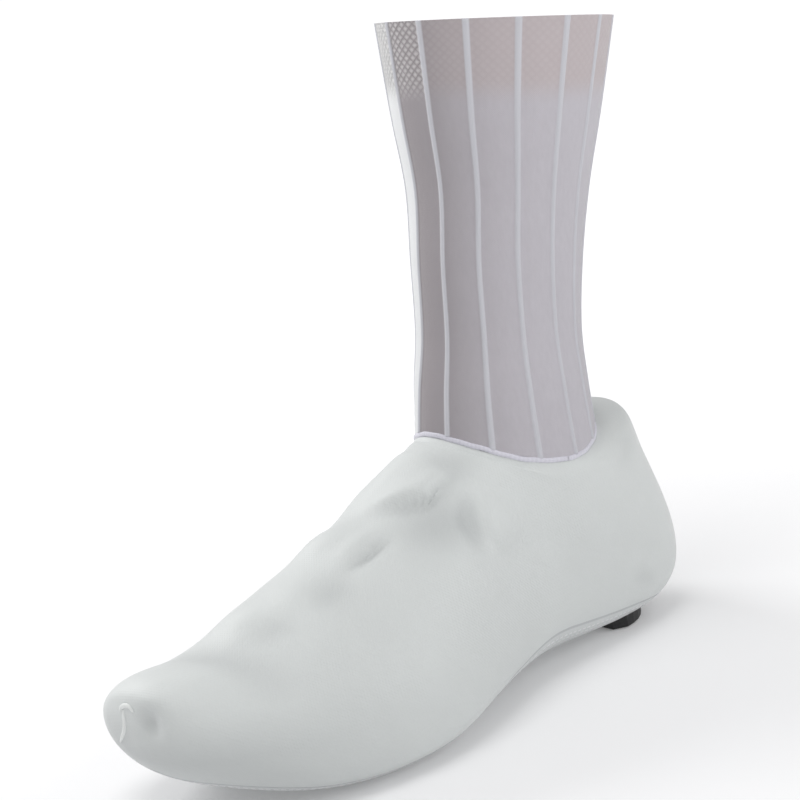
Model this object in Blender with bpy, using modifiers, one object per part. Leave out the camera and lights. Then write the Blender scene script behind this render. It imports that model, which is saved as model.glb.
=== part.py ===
"""Cycling overshoe for a left foot, standing empty on its sole.

Metres. The toe points to -Y, the heel to +Y, the outer side of the foot to +X, and the floor is z = 0.
"""
import bpy
import bmesh
import numpy as np
from collections import namedtuple
from math import cos, hypot, pi, radians, sin

# Driving sizes of the foot cover
LENGTH = 0.286          # toe tip to the back of the heel
BALL = 0.103            # widest across the ball of the foot
HEEL = 0.076            # widest across the heel
INSTEP = 0.112          # floor to the crease between instep and leg
TOE_SPRING = 0.0356     # floor to the foremost point of the toe
ARCH = 0.005            # lift of the underside between ball and heel
HEEL_HEIGHT = 0.099     # floor to the rounded tab behind the tendon
TOE_TURN = -0.0128      # foremost point of the toe, towards the big toe
SHELF = 0.0034          # crown of the shelf between that tab and the collar
SAG = 0.0183            # drop of the top line at the sides of the ankle

# Driving sizes of the cuff
ANKLE_DEPTH = 0.0762    # front to back at the narrowest place
ANKLE_WIDTH = 0.0663    # side to side at the narrowest place
MOUTH_DEPTH = 0.1058    # front to back at the upper edge
MOUTH_WIDTH = 0.096     # side to side at the upper edge
SHAFT_BASE = 0.099      # height where the leg starts to lean back
SHAFT_RISE = 0.1813     # from there to the upper edge, along the leg
LEG_PLACE = 0.2087      # toe tip to the middle of the leg at that height
LEAN = radians(9.3)     # backward lean of the leg
COLLAR_FRONT = 0.0074   # collar line above SHAFT_BASE at the front
COLLAR_SIDE = -0.0061   # at the two sides
COLLAR_BACK = 0.0085    # behind the tendon

# Walls, seams and clearances
UPPER_WALL = 0.0012
SOLE_WALL = 0.0020
SHAFT_WALL = 0.0010
GAP = 0.0003
SEAM_WIDTH = 0.0024     # height of the raised seam round the ankle
SEAM_RISE = 0.0005      # how far that seam stands proud
RIB_COUNT = 15
RIB_WIDTH = 0.0034
RIB_TOP = 0.7           # share of that width that stands fully proud
RIB_RISE = 0.0005
RIB_START = radians(7)  # first rib, from the outer side of the leg towards its front
RIB_SWEEP = radians(16) # how far the ribs lean to the back at the collar
RIB_EASE = 2.2          # how soon that lean fades on the way up

# Heel pad and cleat opening
PAD_WIDTH = 0.0476
PAD_LENGTH = 0.030
PAD_BACK = 0.2668       # toe tip to the back of the pad
PAD_CORNER = 0.006      # corners cut off its straight front, back along the sides
PAD_NOSE = 0.84         # straight front, share of the pad's width
PAD_FRONT_HEIGHT = 0.0075
PAD_BACK_HEIGHT = 0.0120
PAD_EDGE = 0.0010
CLEAT_LENGTH = 0.060
CLEAT_WIDTH = 0.048
CLEAT_PLACE = 0.0993    # toe tip to the middle of the cleat opening
CLEAT_ROUND = 3.0       # roundness of its corners, 2 for an ellipse
SOLE_SHARE = 0.88       # the sole's half width as a share of the cover's
SOLE_BLUNT = 9          # how square the sole's ends are
TOE_MARGIN = 0.0035     # from the first section's underside back to the sole's front
BACK_MARGIN = 0.0030    # from the back of the last section under the heel to the sole's end
SOLE_KNIFE = 0.034      # height of the cut that parts the sole from the upper

# Fineness of the facets
STEPS = 2               # rings for each row of the foot cover's tables
SIDES = 36              # points round the foot cover
LEG_STEPS = 8           # steps for each row of the cuff's table
CUFF_RINGS = 10
SEAM_SIDES = 60
SOLE_SIDES = 32         # points along each side of the sole
CLEAT_SIDES = 24
PAD_SIDES = 16          # steps round the back of the pad
DENSE = 24              # fine steps in each quarter of a section before they are evened out
PASSES = 6              # times that the wall's direction is averaged with its neighbours
CREASE = radians(40)    # facets that meet at more than this keep a sharp edge
TINY = 1e-12
WELD = 1e-6
FLOOR = 0.0

WHITE_FABRIC = (0.72, 0.74, 0.74)
SOLE_FABRIC = (0.66, 0.68, 0.68)
BLACK_RUBBER = (0.03, 0.03, 0.033)
MAUVE_KNIT = (0.55, 0.50, 0.52)
PALE_TAPE = (0.74, 0.73, 0.80)

# One row for each section of the foot cover, from toe to heel. A section runs from a point on the
# underside to a point on the top line, and its two halves bulge to the outer and the inner side.
#   low_y, top_y    share of LENGTH, from the toe tip
#   low_z           share of the size that the table names
#   top_z           share of INSTEP
#   outer, inner    half widths, share of the width that the table names
#   turn            share of TOE_TURN, sideways shift of underside and top line
#   waist           how high the widest place lies, from 0 at the underside to 1
#   boxy            roundness of the lower half, 2 for an ellipse
#   sag             share of SAG by which the sides hang below the line between the two points
Row = namedtuple("Row", "low_y low_z top_y top_z outer inner turn waist boxy sag", defaults=(0.0,))

TOE_ROWS = [        # low_z of TOE_SPRING, widths of BALL, behind the foremost point
    Row(0.005, 0.80, 0.004, 0.456, 0.020, 0.330, 1.00, 0.52, 2.1),
    Row(0.024, 0.58, 0.019, 0.509, 0.110, 0.420, 0.90, 0.50, 2.3),
    Row(0.056, 0.42, 0.054, 0.535, 0.205, 0.465, 0.82, 0.46, 2.6),
    Row(0.103, 0.25, 0.108, 0.540, 0.310, 0.480, 0.66, 0.40, 2.9),
    Row(0.166, 0.08, 0.177, 0.571, 0.405, 0.480, 0.48, 0.34, 3.2),
    Row(0.242, -0.05, 0.260, 0.664, 0.480, 0.468, 0.33, 0.32, 3.2),
    Row(0.322, -0.08, 0.345, 0.739, 0.525, 0.442, 0.24, 0.31, 3.2),
    Row(0.404, -0.07, 0.425, 0.814, 0.520, 0.415, 0.20, 0.31, 3.2),
]
ARCH_ROWS = [       # low_z of ARCH, widths of BALL
    Row(0.488, 0.10, 0.491, 0.916, 0.475, 0.375, 0.18, 0.32, 3.0),
    Row(0.578, 0.60, 0.5284, 0.969, 0.410, 0.340, 0.12, 0.34, 2.9),
    Row(0.668, 1.00, 0.5393, 0.979, 0.380, 0.330, 0.04, 0.38, 2.8),
]
HEEL_ROWS = [       # low_z of HEEL_HEIGHT, widths of HEEL
    Row(0.758, 0.040, 0.5450, 0.982, 0.500, 0.450, 0.0, 0.42, 3.2),
    Row(0.841, 0.028, 0.5496, 0.985, 0.505, 0.468, 0.0, 0.46, 3.4, 0.03),
    Row(0.923, 0.046, 0.5543, 0.988, 0.512, 0.490, 0.0, 0.48, 3.5, 0.06),
    Row(0.980, 0.132, 0.5574, 0.989, 0.512, 0.492, 0.0, 0.50, 3.4, 0.11),
    Row(1.000, 0.300, 0.5605, 0.991, 0.507, 0.490, 0.0, 0.50, 3.1, 0.22),
    Row(0.996, 0.520, 0.5636, 0.992, 0.500, 0.485, 0.0, 0.50, 2.6, 0.41),
    Row(0.972, 0.800, 0.5657, 0.993, 0.490, 0.480, 0.0, 0.50, 2.2, 0.76),
    Row(0.958, 0.975, 0.5677, 0.993, 0.480, 0.475, 0.0, 0.50, 2.1, 1.00),
]
CROWN = 2.1             # roundness of the upper half of every section

# One row for each ring of the cuff: up is the share of SHAFT_RISE, flare the blend from the ankle
# sizes to the mouth sizes, shift the share of ANKLE_DEPTH by which its middle lies back, and the
# rest are shares of the blended depth and width.
Ring = namedtuple("Ring", "up flare shift front back side")

SHAFT_ROWS = [
    Ring(-0.06, 0.00, 0.030, 0.660, 0.570, 0.515),
    Ring(0.00, 0.00, 0.013, 0.615, 0.555, 0.515),
    Ring(0.14, 0.00, -0.013, 0.570, 0.500, 0.515),
    Ring(0.27, 0.00, -0.026, 0.526, 0.474, 0.500),
    Ring(0.44, 0.08, -0.026, 0.520, 0.480, 0.500),
    Ring(0.61, 0.22, -0.013, 0.505, 0.495, 0.510),
    Ring(0.78, 0.58, 0.000, 0.515, 0.490, 0.505),
    Ring(1.00, 1.00, 0.026, 0.530, 0.470, 0.500),
]


def smooth(table, steps):
    """Rows of a table with smooth in-between rows added."""
    rows = np.array(table, dtype=float)
    ends = np.vstack([2 * rows[0] - rows[1], rows, 2 * rows[-1] - rows[-2]])
    out = []
    for i in range(len(rows) - 1):
        a, b, c, d = ends[i:i + 4]
        for k in range(steps):
            u = k / steps
            bend = 2 * a - 5 * b + 4 * c - d
            twist = 3 * b - 3 * c + d - a
            out.append(b + u * (c - a + u * (bend + u * twist)) / 2)
    out.append(rows[-1])
    return np.array(out)


def cover_rows():
    """Every section of the foot cover in metres."""
    rows = [(0.0, TOE_SPRING, 0.0, TOE_SPRING, TOE_TURN, -TOE_TURN, TOE_TURN, 0.5, 2.0, 0.0)]
    for table, lift, width in ((TOE_ROWS, TOE_SPRING, BALL), (ARCH_ROWS, ARCH, BALL),
                               (HEEL_ROWS, HEEL_HEIGHT, HEEL)):
        for row in table:
            rows.append((row.low_y * LENGTH, row.low_z * lift, row.top_y * LENGTH, row.top_z * INSTEP,
                         row.outer * width, row.inner * width, row.turn * TOE_TURN,
                         row.waist, row.boxy, row.sag * SAG))
    return smooth(rows, STEPS)


def leg_to_foot(points):
    """Points given along the leg, leaned back about the leg's base."""
    x, y, z = points[..., 0], points[..., 1], points[..., 2]
    y, z = y * cos(LEAN) + z * sin(LEAN), z * cos(LEAN) - y * sin(LEAN)
    return np.stack([x, y + LEG_PLACE, z + SHAFT_BASE], -1)


LEG = smooth(SHAFT_ROWS, LEG_STEPS)


def shaft_point(up, angle, out=0.0):
    """Points of the cuff at heights up above the leg's base, moved outwards by out."""
    share = np.broadcast_to(up / SHAFT_RISE, angle.shape)
    flare, shift, front, back, side = (np.interp(share, LEG[:, 0], LEG[:, k]) for k in range(1, 6))
    depth = ANKLE_DEPTH + (MOUTH_DEPTH - ANKLE_DEPTH) * flare
    width = ANKLE_WIDTH + (MOUTH_WIDTH - ANKLE_WIDTH) * flare
    reach = depth * np.where(np.sin(angle) >= 0, front, back)
    half = width * side
    nx, ny = np.cos(angle) / half, -np.sin(angle) / reach
    norm = np.hypot(nx, ny)
    x = half * np.cos(angle) + out * nx / norm
    y = shift * ANKLE_DEPTH - reach * np.sin(angle) + out * ny / norm
    return np.stack([x, y, np.broadcast_to(up, angle.shape)], -1)


def collar_line(angle):
    """Height of the collar along the leg, for each angle round it."""
    end = np.where(np.sin(angle) >= 0, COLLAR_FRONT, COLLAR_BACK)
    return COLLAR_SIDE + (end - COLLAR_SIDE) * np.sin(angle) ** 2


def section(row, angles):
    """One section of the foot cover: angle 0 is its outer side, a quarter turn its top line."""
    low_y, low_z, top_y, top_z, outer, inner, turn, waist, boxy, sag = row
    c, s = np.cos(angles), np.sin(angles)
    power = 2 / np.where(s >= 0, CROWN, boxy)
    across = np.sign(c) * np.abs(c) ** power
    rise = waist + np.where(s >= 0, 1 - waist, waist) * np.sign(s) * np.abs(s) ** power
    x = turn + np.where(c >= 0, outer - turn, inner + turn) * across
    y = low_y + (top_y - low_y) * rise
    z = low_z + (top_z - low_z) * rise - sag * c * c
    return np.stack([x, y, z], -1)


def even(ring, count):
    """A dense ring, quarter by quarter, as count evenly spaced points."""
    quarter = (len(ring) - 1) // 4
    out = []
    for q in range(4):
        part = ring[q * quarter:(q + 1) * quarter + 1]
        walk = np.concatenate([[0], np.cumsum(np.linalg.norm(np.diff(part, axis=0), axis=1))])
        at = np.linspace(0, walk[-1], count // 4 + 1)[:-1]
        out.append(np.stack([np.interp(at, walk, part[:, k]) for k in range(3)], -1))
    return np.concatenate(out)


def cover_grid():
    """Rings of the foot cover's outer face from toe tip to collar."""
    dense = np.linspace(0, 2 * pi, 4 * DENSE + 1)
    rings = [even(section(row, dense), SIDES) for row in cover_rows()]
    edge = collar_line(dense) - SEAM_WIDTH / 2 - GAP
    collar = even(leg_to_foot(shaft_point(edge, dense)), SIDES)
    shelf = (rings[-1] + collar) / 2
    behind = np.maximum(0.0, shelf[:, 1] - LEG_PLACE) / (LENGTH - LEG_PLACE)
    shelf[:, 2] += SHELF * behind
    rings += [shelf, collar]
    return np.array(rings)


def unit(vectors):
    """Vectors of length one."""
    return vectors / np.maximum(np.linalg.norm(vectors, axis=-1, keepdims=True), TINY)


def grid_normals(grid):
    """Outward normals of a grid of rings, from its neighbours."""
    beside = np.roll(grid, -1, axis=1)
    quads = np.cross(beside[1:] - grid[:-1], beside[:-1] - grid[1:])
    none = np.zeros_like(grid[:1])
    rows = np.concatenate([none, quads]) + np.concatenate([quads, none])
    normals = rows + np.roll(rows, 1, axis=1)
    normals[0] = (0, -1, 0)
    for _ in range(PASSES):
        normals = unit(normals)
        normals[1:-1] = (normals[:-2] + 2 * normals[1:-1] + normals[2:]) / 4
    # From the instep back the sections fan out, and the wall is measured within each of them.
    spine = grid[:, SIDES // 4] - grid[:, 3 * SIDES // 4]
    across = unit(np.cross((1, 0, 0), spine))[:, None]
    fan = np.clip((np.arange(len(grid)) / STEPS - len(TOE_ROWS)) / len(ARCH_ROWS), 0, 1)
    fan[-2:] = 0
    normals -= fan[:, None, None] * across * np.sum(normals * across, axis=-1, keepdims=True)
    return unit(normals)


def wall(grid, thickness):
    """Outer and inner skins of the foot cover, pressed flat where it stands on the floor."""
    inner = grid - grid_normals(grid) * thickness
    outer = grid.copy()
    outer[..., 2] = np.maximum(outer[..., 2], FLOOR)
    inner[..., 2] = np.maximum(inner[..., 2], FLOOR + thickness)
    return outer, inner


def new_object(name, bm, material, collection):
    """An object from a bmesh, with its normals made consistent."""
    bmesh.ops.recalc_face_normals(bm, faces=bm.faces)
    mesh = bpy.data.meshes.new(name)
    bm.to_mesh(mesh)
    bm.free()
    obj = bpy.data.objects.new(name, mesh)
    collection.objects.link(obj)
    if material:
        mesh.materials.append(material)
        mesh.shade_smooth()
        mesh.set_sharp_from_angle(angle=CREASE)
    return obj


def tube(name, outer, inner, material, collection):
    """A shell between two grids of closed rings, open at each end that isn't a single point."""
    bm = bmesh.new()
    skins = []
    for grid in (outer, inner):
        skins.append([[bm.verts.new(p) for p in ring] for ring in grid])
    count = outer.shape[1]
    for skin in skins:
        for a, b in zip(skin[:-1], skin[1:]):
            for j in range(count):
                k = (j + 1) % count
                bm.faces.new((a[j], a[k], b[k], b[j]))
    for end in (0, -1):
        if np.ptp(outer[end], axis=0).max() < GAP:
            continue
        for j in range(count):
            k = (j + 1) % count
            bm.faces.new((skins[0][end][j], skins[0][end][k], skins[1][end][k], skins[1][end][j]))
    bmesh.ops.remove_doubles(bm, verts=bm.verts, dist=WELD)
    bmesh.ops.triangulate(bm, faces=bm.faces)
    return new_object(name, bm, material, collection)


def prism(name, outline, low, high, material, collection):
    """A flat outline drawn up from low to high, where high may be a function of y."""
    bm = bmesh.new()
    base = bm.faces.new([bm.verts.new((x, y, low)) for x, y in outline])
    top = bmesh.ops.extrude_face_region(bm, geom=[base])["geom"]
    for vert in (v for v in top if isinstance(v, bmesh.types.BMVert)):
        vert.co.z = high(vert.co.y) if callable(high) else high
    return new_object(name, bm, material, collection)


def sole_outline(margin):
    """Plan outline of the sole, grown by margin."""
    rows = cover_rows()[STEPS:STEPS * (len(TOE_ROWS) + len(ARCH_ROWS) + 4) + 1]
    front, back = rows[0][0] + TOE_MARGIN, rows[-1][0] - BACK_MARGIN
    sides = ([], [])
    for turn in np.linspace(0, pi, SOLE_SIDES + 1):
        y = (front + back) / 2 - (back - front) / 2 * cos(turn)
        blunt = (1 - min(1.0, abs(cos(turn)) ** SOLE_BLUNT)) ** 0.5
        for side, sign, column in ((sides[0], 1, 4), (sides[1], -1, 5)):
            reach = np.interp(y, rows[:, 0], rows[:, column])
            middle = np.interp(y, rows[:, 0], rows[:, 6])
            half = (reach - sign * middle) * SOLE_SHARE * blunt
            side.append((middle + sign * half, y))
    ring = sides[0] + sides[1][-2:0:-1]
    return grow(ring, margin)


def grow(ring, margin):
    """A closed outline moved outwards by margin."""
    out = []
    for i, (x, y) in enumerate(ring):
        px, py = ring[i - 1]
        nx, ny = ring[(i + 1) % len(ring)]
        tx, ty = nx - px, ny - py
        size = hypot(tx, ty)
        out.append((x + margin * ty / size, y - margin * tx / size))
    return out


def cleat_outline():
    """The cleat opening from below: a rounded block under the ball of the foot."""
    turn = 2 * pi * np.arange(CLEAT_SIDES) / CLEAT_SIDES
    x = CLEAT_WIDTH / 2 * np.sign(np.cos(turn)) * np.abs(np.cos(turn)) ** (2 / CLEAT_ROUND)
    y = CLEAT_LENGTH / 2 * np.sign(np.sin(turn)) * np.abs(np.sin(turn)) ** (2 / CLEAT_ROUND)
    return list(zip(x, CLEAT_PLACE + y))


def pad_outline(margin):
    """The heel pad from below: straight front, half-round back."""
    radius = PAD_WIDTH / 2
    middle = PAD_BACK - radius
    front = PAD_BACK - PAD_LENGTH
    turns = [pi * i / PAD_SIDES for i in range(PAD_SIDES + 1)]
    back = [((radius + margin) * cos(turn), middle + (radius + margin) * sin(turn)) for turn in turns]
    corner = radius * PAD_NOSE
    nose = [(-radius - margin, front + PAD_CORNER), (-corner, front - margin), (corner, front - margin),
            (radius + margin, front + PAD_CORNER)]
    return back + nose


def pad_top(y):
    """Height of the pad, rising to the back with the fabric round it."""
    share = (y - (PAD_BACK - PAD_LENGTH)) / PAD_LENGTH
    return PAD_FRONT_HEIGHT + (PAD_BACK_HEIGHT - PAD_FRONT_HEIGHT) * share


def cut(target, cutter, operation):
    """Boolean of one solid by another."""
    step = target.modifiers.new(operation.title() + " " + cutter.name, "BOOLEAN")
    step.operation = operation
    step.solver = "EXACT"
    step.object = cutter


def material(name, color, roughness):
    """A plain principled surface."""
    mat = bpy.data.materials.new(name)
    mat.use_nodes = True
    shader = mat.node_tree.nodes["Principled BSDF"]
    shader.inputs["Base Color"].default_value = (*color, 1)
    shader.inputs["Roughness"].default_value = roughness
    shader.inputs["Metallic"].default_value = 0.0
    mat.diffuse_color = (*color, 1)
    return mat


def cutter_object(name, outline, collection):
    """A prism that only cuts, from below the floor to above the sole."""
    obj = prism(name, outline, -SOLE_KNIFE, SOLE_KNIFE, None, collection)
    obj.hide_render = True
    obj.display_type = "WIRE"
    return obj


def make_foot_cover(parts, cutters):
    """Upper and sole: two shells of one surface, parted along the sole's outline."""
    grid = cover_grid()
    outer, inner = wall(grid, UPPER_WALL)
    upper = tube("upper", outer, inner, material("white_stretch_fabric", WHITE_FABRIC, 0.55), parts)
    cut(upper, cutter_object("sole_room", sole_outline(GAP), cutters), "DIFFERENCE")

    outer, inner = wall(grid, SOLE_WALL)
    sole = tube("sole", outer, inner, material("white_sole_fabric", SOLE_FABRIC, 0.7), parts)
    cut(sole, cutter_object("sole_shape", sole_outline(0.0), cutters), "INTERSECT")
    cut(sole, cutter_object("cleat_opening", cleat_outline(), cutters), "DIFFERENCE")
    cut(sole, cutter_object("pad_opening", pad_outline(GAP), cutters), "DIFFERENCE")


def make_heel_pad(parts):
    """The rubber pad under the heel, flat on the floor."""
    rubber = material("black_rubber", BLACK_RUBBER, 0.6)
    pad = prism("heel_pad", pad_outline(0.0), FLOOR, pad_top, rubber, parts)
    edge = pad.modifiers.new("Edges", "BEVEL")
    edge.width = PAD_EDGE
    edge.segments = 2
    edge.limit_method = "ANGLE"
    edge.angle_limit = CREASE


def rib_angles():
    """Angles round the cuff with the relief at each: the ribs' edges and tops, and the panels between."""
    girth = pi * (MOUTH_DEPTH + MOUTH_WIDTH) / 2
    half = pi * RIB_WIDTH / girth
    pitch = 2 * pi / RIB_COUNT
    angles, relief = [], []
    for k in range(RIB_COUNT):
        middle = RIB_START + k * pitch
        top = half * RIB_TOP
        for offset, height in ((-half, 0), (-top, 1), (top, 1), (half, 0), (pitch / 2, 0)):
            angles.append(middle + offset)
            relief.append(height * RIB_RISE)
    return np.array(angles), np.array(relief)


def make_cuff(parts):
    """The ribbed cuff, and the raised seam that joins it to the foot cover."""
    angles, relief = rib_angles()
    outer, inner = [], []
    for share in np.linspace(0, 1, CUFF_RINGS):
        swept = angles - RIB_SWEEP * np.cos(angles) * (1 - share) ** RIB_EASE
        foot = collar_line(swept) + SEAM_WIDTH / 2 + GAP
        up = foot + (SHAFT_RISE - foot) * share
        outer.append(leg_to_foot(shaft_point(up, swept, relief)))
        inner.append(leg_to_foot(shaft_point(up, swept, -SHAFT_WALL)))
    tube("shaft", np.array(outer), np.array(inner), material("sheer_ribbed_knit", MAUVE_KNIT, 0.8), parts)

    angles = np.linspace(0, 2 * pi, SEAM_SIDES + 1)[:-1]
    middle = collar_line(angles)
    skins = []
    for out in (SEAM_RISE, -SHAFT_WALL):
        skins.append(np.array([leg_to_foot(shaft_point(middle + side * SEAM_WIDTH / 2, angles, out))
                               for side in (-1, 1)]))
    tube("collar_seam", *skins, material("pale_seam_tape", PALE_TAPE, 0.6), parts)


def centre(*collections):
    """Move everything so that the middle of the cover's footprint is the origin."""
    points = np.array([vert.co[:2] for obj in collections[0].objects for vert in obj.data.vertices])
    middle = (points.min(axis=0) + points.max(axis=0)) / 2
    for collection in collections:
        for obj in collection.objects:
            obj.location.x = -middle[0]
            obj.location.y = -middle[1]


def main():
    for obj in list(bpy.data.objects):
        bpy.data.objects.remove(obj, do_unlink=True)
    parts = bpy.data.collections.new("cycling_overshoe")
    cutters = bpy.data.collections.new("cutters")
    for collection in (parts, cutters):
        bpy.context.scene.collection.children.link(collection)
    make_foot_cover(parts, cutters)
    make_heel_pad(parts)
    make_cuff(parts)
    centre(parts, cutters)


main()
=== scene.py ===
"""Looks of the cycling overshoe: fabric cover with its creases, ribbed sheer cuff, seams and heel pad.

Metres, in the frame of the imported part: toe to -Y, outer side of the left foot to +X, floor at z = 0.
The forms repeat the sections of the part's own source, finer. Four pieces stand for their nodes, two
curls of fabric are added at the toe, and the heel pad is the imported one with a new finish.
"""
from collections import namedtuple
from math import cos, hypot, pi, radians, sin

import bmesh
import bpy
import numpy as np
from mathutils import Matrix, Vector
from mathutils.bvhtree import BVHTree


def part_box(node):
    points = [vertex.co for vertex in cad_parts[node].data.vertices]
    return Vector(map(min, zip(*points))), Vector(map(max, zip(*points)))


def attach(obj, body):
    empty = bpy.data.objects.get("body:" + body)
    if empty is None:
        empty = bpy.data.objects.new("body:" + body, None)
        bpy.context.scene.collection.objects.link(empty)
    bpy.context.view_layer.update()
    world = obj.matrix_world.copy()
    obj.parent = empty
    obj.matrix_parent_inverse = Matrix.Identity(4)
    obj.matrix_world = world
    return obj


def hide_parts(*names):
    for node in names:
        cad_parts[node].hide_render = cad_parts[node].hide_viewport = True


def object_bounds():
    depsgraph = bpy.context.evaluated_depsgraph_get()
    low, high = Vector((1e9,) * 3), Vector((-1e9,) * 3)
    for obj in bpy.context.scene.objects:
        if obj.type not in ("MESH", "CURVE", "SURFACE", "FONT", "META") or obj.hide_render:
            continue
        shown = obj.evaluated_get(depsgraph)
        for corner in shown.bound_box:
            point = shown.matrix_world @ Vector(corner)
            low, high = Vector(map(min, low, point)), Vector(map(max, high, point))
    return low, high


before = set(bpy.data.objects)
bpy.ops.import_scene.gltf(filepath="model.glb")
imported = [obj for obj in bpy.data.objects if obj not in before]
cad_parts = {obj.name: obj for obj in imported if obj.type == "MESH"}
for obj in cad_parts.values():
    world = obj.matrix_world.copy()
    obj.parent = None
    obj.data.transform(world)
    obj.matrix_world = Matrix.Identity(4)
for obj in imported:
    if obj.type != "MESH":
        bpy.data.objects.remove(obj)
CAD_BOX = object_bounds()

# Driving sizes, as in the part's source
LENGTH = 0.286          # toe tip to the back of the heel
BALL = 0.103            # widest across the ball of the foot
HEEL = 0.076            # widest across the heel
INSTEP = 0.112          # floor to the crease between instep and leg
TOE_SPRING = 0.0356     # floor to the foremost point of the toe
ARCH = 0.005            # lift of the underside between ball and heel
HEEL_HEIGHT = 0.099     # floor to the rounded tab behind the tendon
TOE_TURN = -0.0128      # foremost point of the toe, towards the big toe
SHELF = 0.0034          # crown of the shelf between that tab and the collar
SAG = 0.0183            # drop of the top line at the sides of the ankle
ANKLE_DEPTH = 0.0762    # cuff, front to back at the narrowest place
ANKLE_WIDTH = 0.0663    # side to side at the narrowest place
MOUTH_DEPTH = 0.1058    # front to back at the upper edge
MOUTH_WIDTH = 0.096     # side to side at the upper edge
SHAFT_BASE = 0.099      # height where the leg starts to lean back
SHAFT_RISE = 0.1813     # from there to the upper edge, along the leg
LEG_PLACE = 0.2087      # toe tip to the middle of the leg at that height
LEAN = radians(9.3)     # backward lean of the leg
COLLAR_FRONT = 0.0074   # collar line above SHAFT_BASE at the front
COLLAR_SIDE = -0.0061   # at the two sides
COLLAR_BACK = 0.0085    # behind the tendon
UPPER_WALL = 0.0012
SOLE_WALL = 0.0020
SHAFT_WALL = 0.0010
GAP = 0.0003
MEET = 0.0002           # how far the seam tape covers the edges beside it
SEAM_WIDTH = 0.0024
SEAM_RISE = 0.0005
RIB_COUNT = 15
RIB_WIDTH = 0.0034
RIB_RISE = 0.0006
RIB_START = radians(7)
RIB_SWEEP = radians(16)
RIB_EASE = 2.2
PAD_WIDTH = 0.0476
PAD_LENGTH = 0.030
PAD_BACK = 0.2668
PAD_CORNER = 0.006
PAD_NOSE = 0.84
CLEAT_LENGTH = 0.060
CLEAT_WIDTH = 0.048
CLEAT_PLACE = 0.0993
CLEAT_ROUND = 3.0
SOLE_SHARE = 0.88
SOLE_BLUNT = 9
TOE_MARGIN = 0.0035
BACK_MARGIN = 0.0030
SOLE_KNIFE = 0.034
CROWN = 2.1
FLOOR = 0.0
TINY = 1e-12

# Fineness
ROW_STEPS = 11          # rings for each row of the tables
SIDES = 144             # points round the foot cover
DENSE = 60              # fine steps in each quarter of a section before they are evened out
CUFF_SIDES = 24         # points for each rib and panel of the cuff
CUFF_RINGS = 96
SEAM_SIDES = 288
SOLE_SIDES = 72
CLEAT_SIDES = 72
PAD_SIDES = 32
INNER_PASSES = 180      # times that the wall's direction is averaged with its neighbours
SOFT_PASSES = 14
TAPE_ROWS = 9           # points across the seam tape
SHARP_COVER = radians(50)
SHARP_KNIT = radians(60)
OUTER, INNER, TURN = 4, 5, 6    # columns of cover_rows
SOLE_HEEL_ROWS = 4              # rows of the heel that the sole's outline follows
MIX_COLOURS = (6, 7)            # the colour inputs of a mix node

# Finishes: roughness, weight of the sheen and its roughness
COVER_FINISH = (0.55, 0.25, 0.4)
LINING_FINISH = (0.9, 0.3, 0.5)
KNIT_FINISH = (0.75, 0.35, 0.35)
TAPE_FINISH = (0.6, 0.3, 0.4)
RUBBER_FINISH = (0.55, 0.0, 0.5)
FLOOR_FINISH = (0.9, 0.0, 0.5)

# Colours, in pairs the darker first
COVER_TONES = ((0.585, 0.605, 0.60), (0.655, 0.68, 0.675))
SOLE_TONES = ((0.56, 0.58, 0.58), (0.64, 0.66, 0.66))
CURL_TONES = ((0.70, 0.72, 0.71), (0.78, 0.80, 0.79))
LINING_TONES = ((0.50, 0.50, 0.51), (0.62, 0.62, 0.63))
TAPE_TONES = ((0.60, 0.59, 0.66), (0.66, 0.65, 0.72))
RUBBER_TONES = ((0.010, 0.010, 0.011), (0.035, 0.035, 0.036))
MAUVE_TONES = ((0.47, 0.45, 0.487), (0.545, 0.525, 0.565))
PALE_SIDE_SHADE_MAUVE = (0.285, 0.258, 0.270)  # painted shade: darker mauve on the panels beside the pale ones
GRIP_COLOUR = (0.475, 0.405, 0.405)
PALE_PANEL = (0.74, 0.75, 0.76)
PALE_GRIP = (0.57, 0.57, 0.57)
LOZENGE_COLOUR = (0.75, 0.73, 0.73)
RIB_COLOUR = (0.56, 0.56, 0.60)
THREAD_COLOUR = (0.80, 0.80, 0.82)
# painted shade in the groove along a seam
SEAM_SHADE = (0.35, 0.36, 0.38)
SHADE_COLOUR = (0.33, 0.345, 0.35)  # painted shade on the fabric in the troughs and under the toe
SHADE_SHARE = 0.45
TOE_SHADE = (0.048, 0.018, 0.085)   # top of the painted shade under the toe, height over which it fades, its length
FLOOR_COLOUR = (0.80, 0.80, 0.81)

# Grains: size of the lumps in metres, detail, roughness, depth of relief and stretch along the axes
Grain = namedtuple("Grain", "size detail rough depth stretch", defaults=(0.5, 0.0, (1, 1, 1)))
COVER_CLOUD = Grain(0.035, 3.0)
COVER_SPECKLE = Grain(0.0011, 2.0, 0.6)
COVER_SWELL = Grain(0.020, 2.0, 0.45, 0.0007)
COVER_RIPPLE = Grain(0.006, 2.0, 0.5, 0.00012)
LINING_MOTTLE = Grain(0.004, 4.0, 0.7)
LINING_FUZZ = Grain(0.0012, 3.0, 0.7, 0.0002)
KNIT_FLECK = Grain(0.0022, 3.0, 0.7, 0.00012, (1, 1, 0.35))
KNIT_SWELL = Grain(0.03, 2.0, 0.5, 0.0006)
TAPE_FUZZ = Grain(0.0012, 2.0, 0.5, 0.0001)
RUBBER_SCUFFS = Grain(0.004, 5.0, 0.75, 0.0, (1, 2.5, 1))
RUBBER_GRAIN = Grain(0.0009, 3.0, 0.7, 0.00012)
CLOUD_SHARE = 0.8
SPECKLE_SHARE = 0.3

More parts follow.
